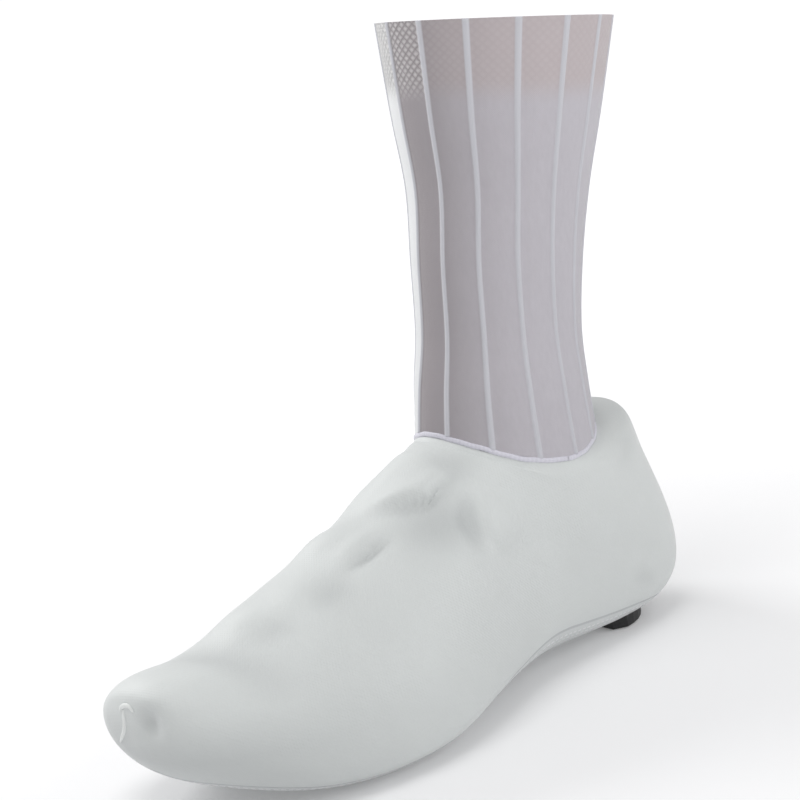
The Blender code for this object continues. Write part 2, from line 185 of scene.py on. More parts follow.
# Knit and stitches
KNIT_WAYS = ((0.70, 0.70, 0.14), (-0.14, 0.70, 0.70), (0.70, -0.14, 0.70))
COVER_KNIT = (0.0011, 0.00003)      # pitch and depth
LINING_KNIT = (0.0016, 0.0001)
STITCH_LENGTH = 0.0030
STITCH_WIDTH = 0.0006
STITCH_DEPTH = 0.00025
STITCH_CUT = -0.35      # part of the wave along a seam that is thread
HEM_ROWS = (0.0022, 0.0040)
HEM_FADE = 0.0009
HEM_DEPTH = 0.00030
GROOVE = 0.0004         # half width of the painted shade of the groove along a seam, its fade and how dark it is
GROOVE_FADE = 0.0005
GROOVE_SHARE = 0.5

# Cuff
CUFF_MAP = "Cuff"
MOUTH_GIRTH = pi * (MOUTH_DEPTH + MOUTH_WIDTH) / 2
MILLIMETRES = 1000
WALE_MM = 0.9
COURSE_MM = 0.8
LOOP_DEPTH = 0.00006
LOZENGE_MM = (4.2, 3.6)
LOZENGE_POWER = 0.7
LOZENGE_DEPTH = 0.0007
LOZENGE_SHARE = 0.5
LOZENGE_FAINT = 0.15    # strength of the lozenges away from the front panels
GRIP_START = 0.835      # share of the cuff's height where the grip band begins
GRIP_END = 1.5
GRIP_FADE = 0.07
GRIP_SHARE = 0.7
INSIDE_TINT = 0.8
RIB_SHOULDER = 1.25     # how steep a rib's sides are, and how far its colour reaches across it
RIB_TINT = 2.6
RIB_GROOVE = (1.12, 0.14, 0.25)     # groove beside a rib: place, spread, depth as shares of the rib

# Seam tape and rubber
TAPE_WAVES = ((0.00015, 9), (0.0001, 23))   # its line's unevenness: height and waves round the ankle
TAPE_SWELL = 1.6
TAPE_SINK = 0.0002
TAPE_GRAIN = (0.0016, 0.00004)      # pitch and depth
TAPE_CONTRAST = 0.25
SCUFF_START = 0.62
SCUFF_END = 2.0
SCUFF_FADE = 0.12
SCUFF_ROUGH = 0.25
RUBBER_ROUGH = 0.5

Row = namedtuple("Row", "low_y low_z top_y top_z outer inner turn waist boxy sag", defaults=(0.0,))

TOE_ROWS = [        # low_z of TOE_SPRING, widths of BALL, behind the foremost point
    Row(0.005, 0.80, 0.004, 0.456, 0.020, 0.330, 1.00, 0.52, 2.1),
    Row(0.024, 0.58, 0.019, 0.509, 0.110, 0.420, 0.90, 0.50, 2.3),
    Row(0.056, 0.42, 0.054, 0.535, 0.205, 0.465, 0.82, 0.46, 2.6),
    Row(0.103, 0.25, 0.108, 0.540, 0.310, 0.480, 0.66, 0.40, 2.9),
    Row(0.166, 0.08, 0.177, 0.571, 0.405, 0.480, 0.48, 0.34, 3.2),
    Row(0.242, -0.05, 0.260, 0.664, 0.480, 0.468, 0.33, 0.32, 3.2),
    Row(0.322, -0.08, 0.345, 0.739, 0.525, 0.442, 0.24, 0.31, 3.2),
    Row(0.404, -0.07, 0.425, 0.814, 0.520, 0.415, 0.20, 0.31, 3.2),
]
ARCH_ROWS = [       # low_z of ARCH, widths of BALL
    Row(0.488, 0.10, 0.491, 0.916, 0.475, 0.375, 0.18, 0.32, 3.0),
    Row(0.578, 0.60, 0.5284, 0.969, 0.410, 0.340, 0.12, 0.34, 2.9),
    Row(0.668, 1.00, 0.5393, 0.979, 0.380, 0.330, 0.04, 0.38, 2.8),
]
HEEL_ROWS = [       # low_z of HEEL_HEIGHT, widths of HEEL
    Row(0.758, 0.040, 0.5450, 0.982, 0.500, 0.450, 0.0, 0.42, 3.2),
    Row(0.841, 0.028, 0.5496, 0.985, 0.505, 0.468, 0.0, 0.46, 3.4, 0.03),
    Row(0.923, 0.046, 0.5543, 0.988, 0.512, 0.490, 0.0, 0.48, 3.5, 0.06),
    Row(0.980, 0.132, 0.5574, 0.989, 0.512, 0.492, 0.0, 0.50, 3.4, 0.11),
    Row(1.000, 0.300, 0.5605, 0.991, 0.507, 0.490, 0.0, 0.50, 3.1, 0.22),
    Row(0.996, 0.520, 0.5636, 0.992, 0.500, 0.485, 0.0, 0.50, 2.6, 0.41),
    Row(0.972, 0.800, 0.5657, 0.993, 0.490, 0.480, 0.0, 0.50, 2.2, 0.76),
    Row(0.958, 0.975, 0.5677, 0.993, 0.480, 0.475, 0.0, 0.50, 2.1, 1.00),
]
Ring = namedtuple("Ring", "up flare shift front back side")
SHAFT_ROWS = [
    Ring(-0.06, 0.00, 0.030, 0.660, 0.570, 0.515),
    Ring(0.00, 0.00, 0.013, 0.615, 0.555, 0.515),
    Ring(0.14, 0.00, -0.013, 0.570, 0.500, 0.515),
    Ring(0.27, 0.00, -0.026, 0.526, 0.474, 0.500),
    Ring(0.44, 0.08, -0.026, 0.520, 0.480, 0.500),
    Ring(0.61, 0.22, -0.013, 0.505, 0.495, 0.510),
    Ring(0.78, 0.58, 0.000, 0.515, 0.490, 0.505),
    Ring(1.00, 1.00, 0.026, 0.530, 0.470, 0.500),
]

# Creases and swellings of the stretched fabric: points in metres from the middle line (x), the toe
# tip (y) and the floor (z). rise is the height over the smooth cover half-way along, below zero for
# a trough, and width its half width. A fold of one point is a disc.
Fold = namedtuple("Fold", "name path rise width")
FOLDS = [
    Fold("toe_box_step", [(-0.045, 0.030, 0.045), (-0.014, 0.036, 0.061), (0.042, 0.048, 0.045)],
         -0.0025, 0.0085),
    Fold("toe_box_crown", [(-0.040, 0.056, 0.052), (-0.020, 0.060, 0.064), (0.030, 0.070, 0.056)],
         0.0024, 0.0100),
    Fold("vamp_hollow", [(-0.010, 0.050, 0.064), (0.004, 0.056, 0.065), (0.024, 0.068, 0.060)],
         -0.0022, 0.0085),
    Fold("vamp_crown", [(-0.014, 0.074, 0.072), (0.006, 0.076, 0.073), (0.026, 0.082, 0.066)],
         0.0010, 0.0080),
    Fold("lace_hollow", [(0.006, 0.070, 0.071), (0.016, 0.082, 0.074), (0.024, 0.098, 0.076)],
         -0.0022, 0.0085),
    Fold("lace_crown", [(-0.028, 0.098, 0.072), (-0.007, 0.108, 0.086), (0.010, 0.118, 0.089)],
         0.0030, 0.0085),
    Fold("strap_ridge", [(0.006, 0.092, 0.080), (0.0093, 0.1099, 0.0853), (0.012, 0.126, 0.091)],
         0.0017, 0.0050),
    Fold("strap_crease", [(0.0140, 0.090, 0.077), (0.0161, 0.1089, 0.0832), (0.0185, 0.124, 0.088)],
         -0.0024, 0.0036),
    Fold("ledge_ridge", [(-0.010, 0.121, 0.090), (0.0073, 0.1335, 0.0972), (0.0150, 0.1420, 0.0995),
                         (0.0160, 0.1520, 0.1032), (0.0165, 0.1620, 0.1050)], 0.0024, 0.0050),
    Fold("ledge_crease", [(-0.004, 0.120, 0.089), (0.0143, 0.1321, 0.0942), (0.0201, 0.1397, 0.0959),
                          (0.0202, 0.1496, 0.0992), (0.0197, 0.1660, 0.1030)], -0.0026, 0.0036),
    Fold("ledge_lip", [(0.0075, 0.1305, 0.0955), (0.0178, 0.1405, 0.0985), (0.0180, 0.1500, 0.1015),
                       (0.0172, 0.1620, 0.1045)], 0.0009, 0.0022),
    Fold("ledge_line", [(0.0095, 0.1290, 0.0935), (0.0200, 0.1397, 0.0959), (0.0205, 0.1496, 0.0992),
                        (0.0195, 0.1620, 0.1025)], -0.0013, 0.0020),
    Fold("strap_line", [(0.0150, 0.0950, 0.0790), (0.0161, 0.1089, 0.0832), (0.0182, 0.1200, 0.0868)],
         -0.0011, 0.0020),
    Fold("side_hollow", [(0.014, 0.114, 0.083), (0.0285, 0.1364, 0.0880), (0.0330, 0.1620, 0.0880)],
         -0.0026, 0.0125),
    Fold("collar_hollow", [(0.004, 0.148, 0.107), (0.0160, 0.1580, 0.1045), (0.0240, 0.1720, 0.0990)],
         -0.0017, 0.0060),
    Fold("dial", [(0.0345, 0.1655, 0.0790)], 0.0030, 0.0110),
    Fold("dial_flank", [(0.0260, 0.160, 0.097), (0.0328, 0.1506, 0.0846), (0.0400, 0.1500, 0.0680)],
         -0.0030, 0.0060),
    Fold("side_swell", [(0.052, 0.060, 0.028), (0.046, 0.098, 0.034), (0.038, 0.140, 0.034)], 0.0010, 0.0140),
    Fold("toe_seam_hollow", [(-0.006, 0.004, 0.056), (-0.0040, 0.0015, 0.047), (-0.006, 0.003, 0.036)],
         -0.0030, 0.0065),
    Fold("heel_crease", [(0.037, 0.230, 0.031), (0.036, 0.243, 0.026), (0.032, 0.256, 0.022)],
         -0.0010, 0.0042),
    Fold("heel_crease_low", [(0.036, 0.240, 0.044), (0.031, 0.256, 0.036), (0.024, 0.268, 0.030)],
         -0.0009, 0.0040),
    Fold("inner_dent", [(-0.046, 0.060, 0.028), (-0.041, 0.092, 0.032), (-0.036, 0.124, 0.034)],
         -0.0013, 0.0120),
    Fold("inner_ridge", [(-0.018, 0.110, 0.086), (-0.022, 0.132, 0.094), (-0.020, 0.152, 0.101)],
         0.0016, 0.0050),
    Fold("inner_crease", [(-0.026, 0.108, 0.080), (-0.028, 0.131, 0.087), (-0.026, 0.154, 0.095)],
         -0.0024, 0.0042),
    Fold("inner_ankle", [(-0.036, 0.155, 0.082), (-0.037, 0.175, 0.076), (-0.036, 0.195, 0.070)],
         -0.0020, 0.0090),
    Fold("tendon_left", [(-0.012, 0.270, 0.090), (-0.026, 0.252, 0.085), (-0.034, 0.228, 0.076)],
         -0.0013, 0.0055),
    Fold("tendon_right", [(0.012, 0.270, 0.090), (0.027, 0.252, 0.085), (0.035, 0.228, 0.076)],
         -0.0013, 0.0055),
]
CREASE_SHADE = 0.0030   # depth of a trough at which its painted shade is darkest

# Ridges of spare fabric at the toe tip, where the cover's seam ends: sideways place and height of
# each point, in metres from the middle line and the floor
CURLS = {
    "toe_curl_hook": [(-0.0133, 0.0496), (-0.0159, 0.0512), (-0.0191, 0.0510), (-0.0215, 0.0498),
                      (-0.0223, 0.0483)],
    "toe_curl_tail": [(-0.0200, 0.0490), (-0.0199, 0.0465), (-0.0200, 0.0435), (-0.0211, 0.0404),
                      (-0.0240, 0.0368), (-0.0269, 0.0339)],
}
CURL_WIDTH = 0.0010
CURL_STEPS = 8
CURL_REACH = 0.05       # how far ahead of the toe the curls are drawn before they drop onto it
CURL_SINK = 0.15        # share of their width by which they sit off the fabric's face
CURL_THIN = 0.25        # width of their ends, and how quickly they thin out
CURL_TAPER = 0.6

# Studio: azimuth, elevation, distance, size and power of each light
LIGHTS = [
    ("left_light", -82, 30, 1.3, 0.7, 8.0),
    ("right_light", 116, 26, 1.5, 0.9, 5.5),
    ("top_light", 20, 74, 1.5, 0.8, 8.0),
]
WORLD_STRENGTH = 0.46
NEAR_GLOW = 0.10        # the floor's own light beside the part, and FAR metres away or more
FAR_GLOW = 0.66
FAR = 1.6
FLOOR_HALF = 20.0
FLOOR_DROP = 0.0005
AIM_HEIGHT = 0.10       # height that the lights look at
SENSOR = 36.0
CLIP = (0.05, 50.0)
PALE_MIDDLE = 127       # middle of the paler front panels of the cuff and half their width, in degrees
PALE_SPREAD = 24
PALE_SIDE_SHADE_SHARE = 0.95       # how much the painted shade darkens the mauve beside them, and over how many degrees
PALE_SIDE_SHADE_SPREAD = 44

# The photograph's camera
CAMERA_PLACE = (0.6742, -0.5676, 0.3711)
CAMERA_AZIMUTH = radians(49.7)
CAMERA_ELEVATION = radians(14.99)
CAMERA_ROLL = radians(-9.34)
CAMERA_LENS = 98.5


# Forms

def smooth(table, steps):
    """Rows of a table, or rings of points, with smooth in-between ones added."""
    rows = np.array(table, dtype=float)
    ends = np.concatenate([[2 * rows[0] - rows[1]], rows, [2 * rows[-1] - rows[-2]]])
    out = []
    for i in range(len(rows) - 1):
        a, b, c, d = ends[i:i + 4]
        for k in range(steps):
            u = k / steps
            bend = 2 * a - 5 * b + 4 * c - d
            twist = 3 * b - 3 * c + d - a
            out.append(b + u * (c - a + u * (bend + u * twist)) / 2)
    out.append(rows[-1])
    return np.array(out)


def cover_rows():
    """The table's sections of the foot cover in metres."""
    rows = [(0.0, TOE_SPRING, 0.0, TOE_SPRING, TOE_TURN, -TOE_TURN, TOE_TURN, 0.5, 2.0, 0.0)]
    for table, lift, width in ((TOE_ROWS, TOE_SPRING, BALL), (ARCH_ROWS, ARCH, BALL),
                               (HEEL_ROWS, HEEL_HEIGHT, HEEL)):
        for row in table:
            rows.append((row.low_y * LENGTH, row.low_z * lift, row.top_y * LENGTH, row.top_z * INSTEP,
                         row.outer * width, row.inner * width, row.turn * TOE_TURN,
                         row.waist, row.boxy, row.sag * SAG))
    return np.array(rows)


def leg_to_foot(points):
    """Points given along the leg, leaned back about the leg's base."""
    x, y, z = points[..., 0], points[..., 1], points[..., 2]
    y, z = y * cos(LEAN) + z * sin(LEAN), z * cos(LEAN) - y * sin(LEAN)
    return np.stack([x, y + LEG_PLACE, z + SHAFT_BASE], -1)


LEG = smooth(SHAFT_ROWS, 8)


def shaft_point(up, angle, out=0.0):
    """Points of the cuff at heights up above the leg's base, moved outwards by out."""
    share = np.broadcast_to(up / SHAFT_RISE, angle.shape)
    flare, shift, front, back, side = (np.interp(share, LEG[:, 0], column) for column in LEG.T[1:])
    depth = ANKLE_DEPTH + (MOUTH_DEPTH - ANKLE_DEPTH) * flare
    width = ANKLE_WIDTH + (MOUTH_WIDTH - ANKLE_WIDTH) * flare
    reach = depth * np.where(np.sin(angle) >= 0, front, back)
    half = width * side
    nx, ny = np.cos(angle) / half, -np.sin(angle) / reach
    norm = np.hypot(nx, ny)
    x = half * np.cos(angle) + out * nx / norm
    y = shift * ANKLE_DEPTH - reach * np.sin(angle) + out * ny / norm
    return np.stack([x, y, np.broadcast_to(up, angle.shape)], -1)


def collar_line(angle):
    """Height of the collar along the leg, for each angle round it."""
    end = np.where(np.sin(angle) >= 0, COLLAR_FRONT, COLLAR_BACK)
    return COLLAR_SIDE + (end - COLLAR_SIDE) * np.sin(angle) ** 2


def section(row, angles):
    """One section of the foot cover: angle 0 is its outer side, a quarter turn its top line."""
    low_y, low_z, top_y, top_z, outer, inner, turn, waist, boxy, sag = row
    c, s = np.cos(angles), np.sin(angles)
    power = 2 / np.where(s >= 0, CROWN, boxy)
    across = np.sign(c) * np.abs(c) ** power
    rise = waist + np.where(s >= 0, 1 - waist, waist) * np.sign(s) * np.abs(s) ** power
    x = turn + np.where(c >= 0, outer - turn, inner + turn) * across
    y = low_y + (top_y - low_y) * rise
    z = low_z + (top_z - low_z) * rise - sag * c * c
    return np.stack([x, y, z], -1)


def even(ring, count):
    """A dense ring, quarter by quarter, as count evenly spaced points."""
    quarter = (len(ring) - 1) // 4
    out = []
    for q in range(4):
        part = ring[q * quarter:(q + 1) * quarter + 1]
        walk = np.concatenate([[0], np.cumsum(np.linalg.norm(np.diff(part, axis=0), axis=1))])
        at = np.linspace(0, walk[-1], count // 4 + 1)[:-1]
        out.append(np.stack([np.interp(at, walk, part[:, k]) for k in range(3)], -1))
    return np.concatenate(out)


def cover_grid():
    """Fine rings of the foot cover's outer face from toe tip to collar."""
    dense = np.linspace(0, 2 * pi, 4 * DENSE + 1)
    rings = [even(section(row, dense), SIDES) for row in cover_rows()]
    edge = collar_line(dense) - SEAM_WIDTH / 2 + MEET
    collar = even(leg_to_foot(shaft_point(edge, dense)), SIDES)
    shelf = (rings[-1] + collar) / 2
    behind = np.maximum(0.0, shelf[:, 1] - LEG_PLACE) / (LENGTH - LEG_PLACE)
    shelf[:, 2] += SHELF * behind
    return smooth(rings + [shelf, collar], ROW_STEPS)


def unit(vectors):
    """Vectors of length one."""
    return vectors / np.maximum(np.linalg.norm(vectors, axis=-1, keepdims=True), TINY)


def grid_normals(grid, passes):
    """Outward normals of a grid of rings, averaged with their neighbours."""
    beside = np.roll(grid, -1, axis=1)
    quads = np.cross(beside[1:] - grid[:-1], beside[:-1] - grid[1:])
    none = np.zeros_like(grid[:1])
    rows = np.concatenate([none, quads]) + np.concatenate([quads, none])
    normals = rows + np.roll(rows, 1, axis=1)
    normals[0] = (0, -1, 0)
    for _ in range(passes):
        normals = unit(normals)
        normals[1:-1] = (normals[:-2] + 2 * normals[1:-1] + normals[2:]) / 4
    return unit(normals)


def soften(grid, passes):
    """A grid of rings whose rows are averaged with their neighbours, ends held."""
    grid = grid.copy()
    for _ in range(passes):
        grid[1:-1] = (grid[:-2] + 2 * grid[1:-1] + grid[2:]) / 4
    return grid


def fold_height(points):
    """Height of all the folds and swellings over the smooth cover at these points."""
    height = np.zeros(points.shape[:-1])
    for fold in FOLDS:
        path = np.array(fold.path)
        if len(path) == 1:
            away = np.linalg.norm(points - path[0], axis=-1)
            height += fold.rise * np.exp(-(away / fold.width) ** 4)
            continue
        lengths = np.linalg.norm(np.diff(path, axis=0), axis=1)
        away, share, walked = np.full(height.shape, np.inf), np.zeros(height.shape), 0.0
        for start, end, length in zip(path[:-1], path[1:], lengths):
            part = np.clip((points - start) @ (end - start) / length ** 2, 0, 1)
            gap = np.linalg.norm(points - start - part[..., None] * (end - start), axis=-1)
            share = np.where(gap < away, (walked + part * length) / lengths.sum(), share)
            away = np.minimum(away, gap)
            walked += length
        height += fold.rise * np.sin(pi * share) ** 2 * np.exp(-(away / fold.width) ** 2)
    return height


# Meshes

def finish_mesh(name, mesh, materials, crease):
    """An object from a mesh, smooth but for edges sharper than crease."""
    obj = bpy.data.objects.new(name, mesh)
    bpy.context.scene.collection.objects.link(obj)
    mesh.materials.clear()
    for material in materials:
        mesh.materials.append(material)
    mesh.shade_smooth()
    mesh.set_sharp_from_angle(angle=crease)
    return obj


def shell_mesh(name, outer, inner):
    """Closed shell between two grids of rings. Faces of the inner skin get material 1."""
    rings, count = outer.shape[:2]
    verts = np.concatenate([outer.reshape(-1, 3), inner.reshape(-1, 3)])
    here = np.arange(count)
    beside = (here + 1) % count
    faces, slots = [], []
    for skin in (0, 1):
        first = skin * rings * count
        for i in range(rings - 1):
            low, high = first + i * count, first + (i + 1) * count
            loop = (low + here, low + beside, high + beside, high + here)
            faces.append(np.stack(loop if skin == 0 else loop[::-1], -1))
            slots.append(np.full(count, skin))
    pointed = np.ptp(outer[0], axis=0).max() < GAP
    for end in (rings - 1,) if pointed else (0, rings - 1):
        rim, back = end * count, (rings + end) * count
        loop = (rim + here, rim + beside, back + beside, back + here)
        faces.append(np.stack(loop if end else loop[::-1], -1))
        slots.append(np.zeros(count, int))
    mesh = bpy.data.meshes.new(name)
    mesh.from_pydata(verts.tolist(), [], np.concatenate(faces).tolist())
    mesh.polygons.foreach_set("material_index", np.concatenate(slots).astype(np.int32))
    if pointed:
        bm = bmesh.new()
        bm.from_mesh(mesh)
        tips = [v for v in bm.verts if v.index % (rings * count) < count]
        bmesh.ops.remove_doubles(bm, verts=tips, dist=TINY ** 0.5)
        bm.to_mesh(mesh)
        bm.free()
    return mesh


def prism_object(name, outline, low, high):
    """A flat outline drawn up from low to high, to cut with."""
    bm = bmesh.new()
    base = bm.faces.new([bm.verts.new((x, y, low)) for x, y in outline])
    top = bmesh.ops.extrude_face_region(bm, geom=[base])["geom"]
    for vert in (v for v in top if isinstance(v, bmesh.types.BMVert)):
        vert.co.z = high
    bmesh.ops.recalc_face_normals(bm, faces=bm.faces)
    mesh = bpy.data.meshes.new(name)
    bm.to_mesh(mesh)
    bm.free()
    obj = bpy.data.objects.new(name, mesh)
    bpy.context.scene.collection.objects.link(obj)
    return obj


def carve(mesh, steps):
    """A mesh after a row of Booleans, each an operation with a prism's name and outline."""
    obj = bpy.data.objects.new("carving", mesh)
    bpy.context.scene.collection.objects.link(obj)
    cutters = []
    for operation, name, outline in steps:
        cutter = prism_object(name, outline, -SOLE_KNIFE, SOLE_KNIFE)
        cutters.append(cutter)
        cut = obj.modifiers.new(name, "BOOLEAN")
        cut.operation = operation
        cut.solver = "EXACT"
        cut.object = cutter
    bpy.context.view_layer.update()
    result = bpy.data.meshes.new_from_object(obj.evaluated_get(bpy.context.evaluated_depsgraph_get()))
    for used in cutters + [obj]:
        bpy.data.objects.remove(used, do_unlink=True)
    return result


def sole_outline(margin):
    """Plan outline of the sole, grown by margin."""
    rows = smooth(cover_rows(), 2)[2:2 * (len(TOE_ROWS) + len(ARCH_ROWS) + SOLE_HEEL_ROWS) + 1]
    front, back = rows[0][0] + TOE_MARGIN, rows[-1][0] - BACK_MARGIN
    sides = ([], [])
    for turn in np.linspace(0, pi, SOLE_SIDES + 1):
        y = (front + back) / 2 - (back - front) / 2 * cos(turn)
        blunt = (1 - min(1.0, abs(cos(turn)) ** SOLE_BLUNT)) ** 0.5
        for side, sign, column in ((sides[0], 1, OUTER), (sides[1], -1, INNER)):
            reach = np.interp(y, rows[:, 0], rows[:, column])
            middle = np.interp(y, rows[:, 0], rows[:, TURN])
            side.append((middle + sign * (reach - sign * middle) * SOLE_SHARE * blunt, y))
    return grow(sides[0] + sides[1][-2:0:-1], margin)


def grow(ring, margin):
    """A closed outline moved outwards by margin."""
    out = []
    for i, (x, y) in enumerate(ring):
        (px, py), (nx, ny) = ring[i - 1], ring[(i + 1) % len(ring)]
        size = hypot(nx - px, ny - py)
        out.append((x + margin * (ny - py) / size, y - margin * (nx - px) / size))
    return out


def cleat_outline():
    """The cleat opening from below."""
    turn = 2 * pi * np.arange(CLEAT_SIDES) / CLEAT_SIDES
    x = CLEAT_WIDTH / 2 * np.sign(np.cos(turn)) * np.abs(np.cos(turn)) ** (2 / CLEAT_ROUND)
    y = CLEAT_LENGTH / 2 * np.sign(np.sin(turn)) * np.abs(np.sin(turn)) ** (2 / CLEAT_ROUND)
    return list(zip(x, CLEAT_PLACE + y))


def pad_outline(margin):
    """The heel pad from below: straight front, half-round back."""
    radius = PAD_WIDTH / 2
    middle = PAD_BACK - radius
    front = PAD_BACK - PAD_LENGTH
    turns = [pi * i / PAD_SIDES for i in range(PAD_SIDES + 1)]
    back = [((radius + margin) * cos(turn), middle + (radius + margin) * sin(turn)) for turn in turns]
    corner = radius * PAD_NOSE
    side = radius + margin
    return back + [(-side, front + PAD_CORNER), (-corner, front - margin), (corner, front - margin),
                   (side, front + PAD_CORNER)]


def outline_field(mesh, name, outlines, shift):
    """Writes two attributes: distance from the nearest outline, and length run along it."""
    co = np.zeros(len(mesh.vertices) * 3)
    mesh.vertices.foreach_get("co", co)
    flat = co.reshape(-1, 3)[:, :2] - shift[:2]
    best = np.full(len(flat), 1.0)
    run = np.zeros(len(flat))
    for outline in outlines:
        ring = np.array(outline)
        ends = np.roll(ring, -1, axis=0)
        walked = 0.0
        for a, b in zip(ring, ends):
            along = b - a
            share = np.clip((flat - a) @ along / max(along @ along, TINY), 0, 1)
            away = np.linalg.norm(flat - a - share[:, None] * along, axis=-1)
            closer = away < best
            best = np.where(closer, away, best)
            run = np.where(closer, walked + share * hypot(*along), run)
            walked += hypot(*along)
    for suffix, values in (("_away", best), ("_run", run)):
        layer = mesh.attributes.new(name + suffix, "FLOAT", "POINT")
        layer.data.foreach_set("value", values)


# Materials

def principled(name, finish):
    """A new node material and its tree, shader and object coordinates."""
    mat = bpy.data.materials.new(name)
    mat.use_nodes = True
    tree = mat.node_tree
    shader = tree.nodes["Principled BSDF"]
    for socket, value in zip(("Roughness", "Sheen Weight", "Sheen Roughness"), finish):
        shader.inputs[socket].default_value = value
    shader.inputs["Metallic"].default_value = 0.0
    place = tree.nodes.new("ShaderNodeTexCoord").outputs["Object"]
    return mat, tree, shader, place


def sum_of(tree, kind, a, b=None, c=None):
    """A math node on sockets or numbers."""
    node = tree.nodes.new("ShaderNodeMath")
    node.operation = kind
    for slot, value in zip(node.inputs, (a, b, c)):
        if value is None:
            continue
        if isinstance(value, (int, float)):
            slot.default_value = value
        else:
            tree.links.new(value, slot)
    return node.outputs[0]


def noise(tree, place, grain):
    """Soft noise of one grain, from 0 to 1."""
    mapping = tree.nodes.new("ShaderNodeMapping")
    mapping.inputs["Scale"].default_value = grain.stretch
    tree.links.new(place, mapping.inputs["Vector"])
    node = tree.nodes.new("ShaderNodeTexNoise")
    node.inputs["Scale"].default_value = 1 / grain.size
    node.inputs["Detail"].default_value = grain.detail
    node.inputs["Roughness"].default_value = grain.rough
    tree.links.new(mapping.outputs[0], node.inputs["Vector"])
    return node.outputs["Fac"]


def relief(tree, place, *grains):
    """Bump layers of some grains, each with its depth."""
    return [(noise(tree, place, grain), grain.depth) for grain in grains]


def attribute(tree, name):
    """A number that the mesh carries at each vertex."""
    node = tree.nodes.new("ShaderNodeAttribute")
    node.attribute_name = name
    return node.outputs["Fac"]


def blend_colour(tree, factor, dark, light):
    """A colour between two, by a socket from 0 to 1."""
    node = tree.nodes.new("ShaderNodeMix")
    node.data_type = "RGBA"
    node.clamp_factor = True
    tree.links.new(factor, node.inputs["Factor"])
    for slot, value in zip((node.inputs[k] for k in MIX_COLOURS), (dark, light)):
        if isinstance(value, tuple):
            slot.default_value = (*value, 1)
        else:
            tree.links.new(value, slot)
    return node.outputs[2]


def bump(tree, shader, layers):
    """A chain of bumps, each a height socket and its depth in metres."""
    normal = None
    for height, depth in layers:
        node = tree.nodes.new("ShaderNodeBump")
        node.inputs["Strength"].default_value = 1.0
        node.inputs["Distance"].default_value = depth
        tree.links.new(height, node.inputs["Height"])
        if normal is not None:
            tree.links.new(normal, node.inputs["Normal"])
        normal = node.outputs["Normal"]
    tree.links.new(normal, shader.inputs["Normal"])


def waves(tree, place, period, across):
    """A fine ribbed height along one direction of space, from -1 to 1."""
    dot = tree.nodes.new("ShaderNodeVectorMath")
    dot.operation = "DOT_PRODUCT"
    dot.inputs[1].default_value = tuple(2 * pi / period * k for k in across)
    tree.links.new(place, dot.inputs[0])
    return sum_of(tree, "SINE", dot.outputs["Value"])


def knit(tree, place, period):
    """A fine stretch knit in space: three crossing sets of ribs."""
    one, two, three = (waves(tree, place, period, way) for way in KNIT_WAYS)
    return sum_of(tree, "MULTIPLY", sum_of(tree, "ADD", sum_of(tree, "ADD", one, two), three), 1 / 3)


def band(tree, distance, low, high, soft):
    """1 where a distance lies between low and high, fading over soft."""
    out = []
    for edge, sign in ((low, 1), (high, -1)):
        node = tree.nodes.new("ShaderNodeMapRange")
        node.interpolation_type = "SMOOTHSTEP"
        node.inputs["From Min"].default_value = edge - sign * soft / 2
        node.inputs["From Max"].default_value = edge + sign * soft / 2
        tree.links.new(distance, node.inputs["Value"])
        out.append(node.outputs[0])
    return sum_of(tree, "MULTIPLY", *out)


def stitches(tree, away, run, rows, length):
    """Short raised stitches in rows beside a seam: height from 0 to 1."""
    dash = sum_of(tree, "SINE", sum_of(tree, "MULTIPLY", run, 2 * pi / length))
    dash = sum_of(tree, "GREATER_THAN", dash, STITCH_CUT)
    total = None
    for row in rows:
        line = band(tree, away, row - STITCH_WIDTH / 2, row + STITCH_WIDTH / 2, STITCH_WIDTH / 2)
        total = line if total is None else sum_of(tree, "MAXIMUM", total, line)
    return sum_of(tree, "MULTIPLY", total, dash)


def cover_fabric(name, tones, seams):
    """White coated stretch fabric. seams names the distance attributes that it is stitched beside."""
    mat, tree, shader, place = principled(name, COVER_FINISH)
    cloud = sum_of(tree, "MULTIPLY", noise(tree, place, COVER_CLOUD), CLOUD_SHARE)
    speckle = sum_of(tree, "MULTIPLY", noise(tree, place, COVER_SPECKLE), SPECKLE_SHARE)
    colour = blend_colour(tree, sum_of(tree, "ADD", cloud, speckle), *tones)
    # painted shade: darker colour in the troughs and under the toe
    painted_shade = sum_of(tree, "MULTIPLY", attribute(tree, "shade"), SHADE_SHARE)
    colour = blend_colour(tree, painted_shade, colour, SHADE_COLOUR)
    pitch, depth = COVER_KNIT
    layers = relief(tree, place, COVER_SWELL, COVER_RIPPLE) + [(knit(tree, place, pitch), depth)]
    for seam, rows in seams:
        away, run = attribute(tree, seam + "_away"), attribute(tree, seam + "_run")
        thread = stitches(tree, away, run, rows, STITCH_LENGTH)
        fold = band(tree, away, 0.0, rows[-1] + STITCH_WIDTH, HEM_FADE)
        # painted shade in the groove along the seam
        groove = band(tree, away, -GROOVE, GROOVE, GROOVE_FADE)
        colour = blend_colour(tree, thread, colour, THREAD_COLOUR)
        colour = blend_colour(tree, sum_of(tree, "MULTIPLY", groove, GROOVE_SHARE), colour, SEAM_SHADE)
        layers += [(fold, HEM_DEPTH), (thread, STITCH_DEPTH)]
    tree.links.new(colour, shader.inputs["Base Color"])
    bump(tree, shader, layers)
    return mat


def lining_fabric():
    """Brushed inner side of the cover."""
    mat, tree, shader, place = principled("brushed_lining", LINING_FINISH)
    colour = blend_colour(tree, noise(tree, place, LINING_MOTTLE), *LINING_TONES)
    tree.links.new(colour, shader.inputs["Base Color"])
    pitch, depth = LINING_KNIT
    bump(tree, shader, relief(tree, place, LINING_FUZZ) + [(knit(tree, place, pitch), depth)])
    return mat


